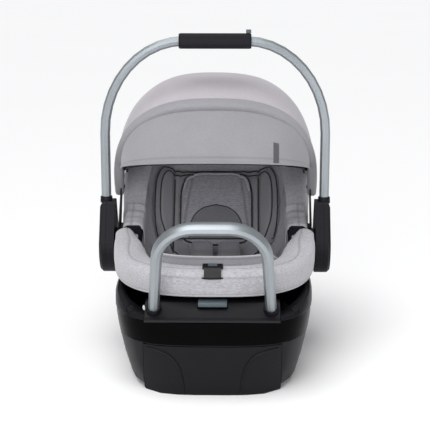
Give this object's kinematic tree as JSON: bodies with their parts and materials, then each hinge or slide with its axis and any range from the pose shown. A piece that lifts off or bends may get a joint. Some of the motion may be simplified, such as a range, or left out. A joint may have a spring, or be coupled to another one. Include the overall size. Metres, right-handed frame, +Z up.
{
  "type": "infant car seat",
  "caption": "Rear-facing infant carrier with swinging carry handle and folding canopy, clicked onto a vehicle base with an anti-rebound bar.",
  "frame": {"origin": "centre of the base's flat underside, on the surface that it stands on", "axes": "+Z up, +Y toward the head end, +X to the right as seen from the foot end"},
  "size_m": [0.4424, 0.617, 0.6167],
  "materials": {
    "moulded_black": "matte",
    "gloss_black": "gloss",
    "satin_silver": "satin",
    "steel": "satin",
    "slate_plastic": "satin",
    "foam": "matte",
    "heather_light": "matte",
    "heather_mid": "matte",
    "canopy_cloth": "matte",
    "visor_cloth": "matte",
    "pad_grey": "matte",
    "webbing": "matte",
    "rubber": "matte",
    "release_red": "satin"
  },
  "bodies": {
    "base": {"base_shell": "moulded_black", "underside_plate": "moulded_black", "front_skirt": "gloss_black", "ear_cover_left": "moulded_black", "ear_cover_right": "moulded_black", "front_console": "moulded_black", "arb_tube": "satin_silver", "arb_socket_left": "moulded_black", "arb_socket_right": "moulded_black", "rubber_foot_left": "rubber", "rubber_foot_right": "rubber", "cradle": "moulded_black", "front_latch_bar": "steel", "rear_latch_bar": "steel", "anchor_belt": "webbing", "anchor_connector_left": "steel", "anchor_connector_right": "steel"},
    "recline_foot": {"recline_foot": "moulded_black"},
    "recline_lever": {"recline_lever": "slate_plastic"},
    "lockoff_arm": {"lockoff_arm": "slate_plastic"},
    "carrier": {"carrier_shell": "moulded_black", "foam_liner": "foam", "seat_liner": "heather_mid", "front_cover": "heather_light", "rear_cover": "heather_mid", "seat_pad": "pad_grey", "head_support": "pad_grey", "head_pillow": "heather_mid", "harness_strap_left": "webbing", "harness_strap_right": "webbing", "harness_pad_left": "pad_grey", "harness_pad_right": "pad_grey", "buckle": "moulded_black", "adjuster_strap": "webbing", "adjuster_housing": "moulded_black", "belt_guide_left": "moulded_black", "belt_guide_right": "moulded_black", "handle_mount_left": "moulded_black", "handle_mount_right": "moulded_black", "canopy_bracket_left": "moulded_black", "canopy_bracket_right": "moulded_black", "canopy_fabric": "canopy_cloth", "release_housing": "moulded_black", "latch_housing": "moulded_black"},
    "release_lever": {"release_lever": "slate_plastic"},
    "latch_tongue": {"latch_tongue": "steel"},
    "buckle_button": {"buckle_button": "release_red"},
    "adjuster_button": {"adjuster_button": "slate_plastic"},
    "handle": {"handle_tube": "satin_silver", "handle_grip": "moulded_black", "hub_inner_left": "moulded_black", "hub_inner_right": "moulded_black", "hub_cover_left": "moulded_black", "hub_cover_right": "moulded_black"},
    "handle_button": {"handle_button": "slate_plastic"},
    "canopy_front": {"canopy_front_bow": "moulded_black", "canopy_band": "visor_cloth"},
    "canopy_mid": {"canopy_mid_bow": "moulded_black"},
    "visor": {"visor_bow": "moulded_black", "visor_fabric": "visor_cloth"}
  },
  "joints": [
    {"name": "carrier_lift", "type": "slide", "parent": "base", "child": "carrier", "axis": [0, 0, 1], "range_m": [0, 0.25]},
    {"name": "recline_foot_slide", "type": "slide", "parent": "base", "child": "recline_foot", "axis": [0, 0, 1], "range_m": [-0.04, 0]},
    {"name": "recline_lever_pull", "type": "slide", "parent": "base", "child": "recline_lever", "axis": [0, -1, 0], "range_m": [0, 0.0014], "stiffness_N_per_m": 400},
    {"name": "lockoff_swing", "type": "hinge", "parent": "base", "child": "lockoff_arm", "pos_m": [0.119, 0.125, 0.037], "axis": [0, 1, 0], "range_deg": [0, 60]},
    {"name": "handle_swing", "type": "hinge", "parent": "carrier", "child": "handle", "pos_m": [0, 0.01, 0.205], "axis": [1, 0, 0], "range_deg": [-100, 60]},
    {"name": "handle_button_press", "type": "slide", "parent": "handle", "child": "handle_button", "axis": [0, 0, -1], "range_m": [0, 0.003], "stiffness_N_per_m": 600},
    {"name": "canopy_fold", "type": "hinge", "parent": "carrier", "child": "canopy_front", "pos_m": [0, 0.07, 0.305], "axis": [1, 0, 0], "range_deg": [-75, 0], "deforming": ["canopy_fabric"]},
    {"name": "canopy_mid_fold", "type": "hinge", "parent": "carrier", "child": "canopy_mid", "pos_m": [0, 0.07, 0.305], "axis": [1, 0, 0], "range_deg": [-37.5, 0]},
    {"name": "visor_fold", "type": "hinge", "parent": "canopy_front", "child": "visor", "pos_m": [0, 0.0458, 0.3453], "axis": [1, 0, 0], "range_deg": [-34, 0], "deforming": ["visor_fabric"]},
    {"name": "buckle_press", "type": "slide", "parent": "carrier", "child": "buckle_button", "axis": [0, 0, -1], "range_m": [0, 0.003], "stiffness_N_per_m": 800},
    {"name": "adjuster_press", "type": "slide", "parent": "carrier", "child": "adjuster_button", "axis": [0, 0, -1], "range_m": [0, 0.0015], "stiffness_N_per_m": 600},
    {"name": "release_squeeze", "type": "slide", "parent": "carrier", "child": "release_lever", "axis": [0, 0, 1], "range_m": [0, 0.01], "stiffness_N_per_m": 500},
    {"name": "tongue_draw", "type": "slide", "parent": "carrier", "child": "latch_tongue", "axis": [0, 1, 0], "range_m": [0, 0.008]}
  ],
  "couplings": [
    {"joint": "canopy_mid_fold", "follows": "canopy_fold", "ratio": 0.5},
    {"joint": "tongue_draw", "follows": "release_squeeze", "ratio": 0.8}
  ]
}
